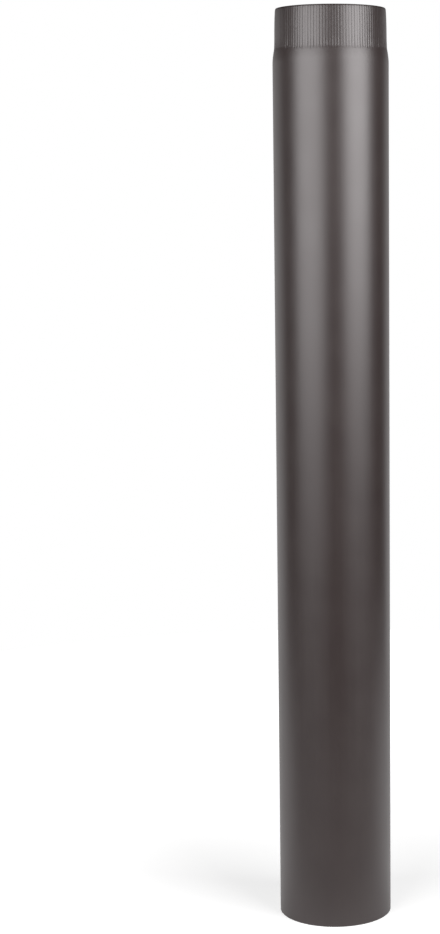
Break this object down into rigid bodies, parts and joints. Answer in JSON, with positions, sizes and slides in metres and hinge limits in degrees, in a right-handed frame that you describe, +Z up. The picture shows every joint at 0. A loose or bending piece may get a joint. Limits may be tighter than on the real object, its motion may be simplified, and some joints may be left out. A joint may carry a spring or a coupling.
{
  "type": "stove pipe",
  "caption": "Straight single-wall stove pipe of black painted sheet steel, with a plain lower end and a drawn-in, crimped upper end that slips into the next pipe.",
  "frame": {"origin": "centre of the plain lower edge, on the surface that the pipe stands on", "axes": "+Z up along the pipe's axis to the crimped end, -Y towards the viewer, +Y through the welded seam at the back"},
  "size_m": [0.1524, 0.1527, 1.2192],
  "materials": {
    "satin_black_paint": "satin heat-proof black paint on sheet steel"
  },
  "bodies": {
    "root": {"stove_pipe": "satin_black_paint"}
  },
  "joints": []
}
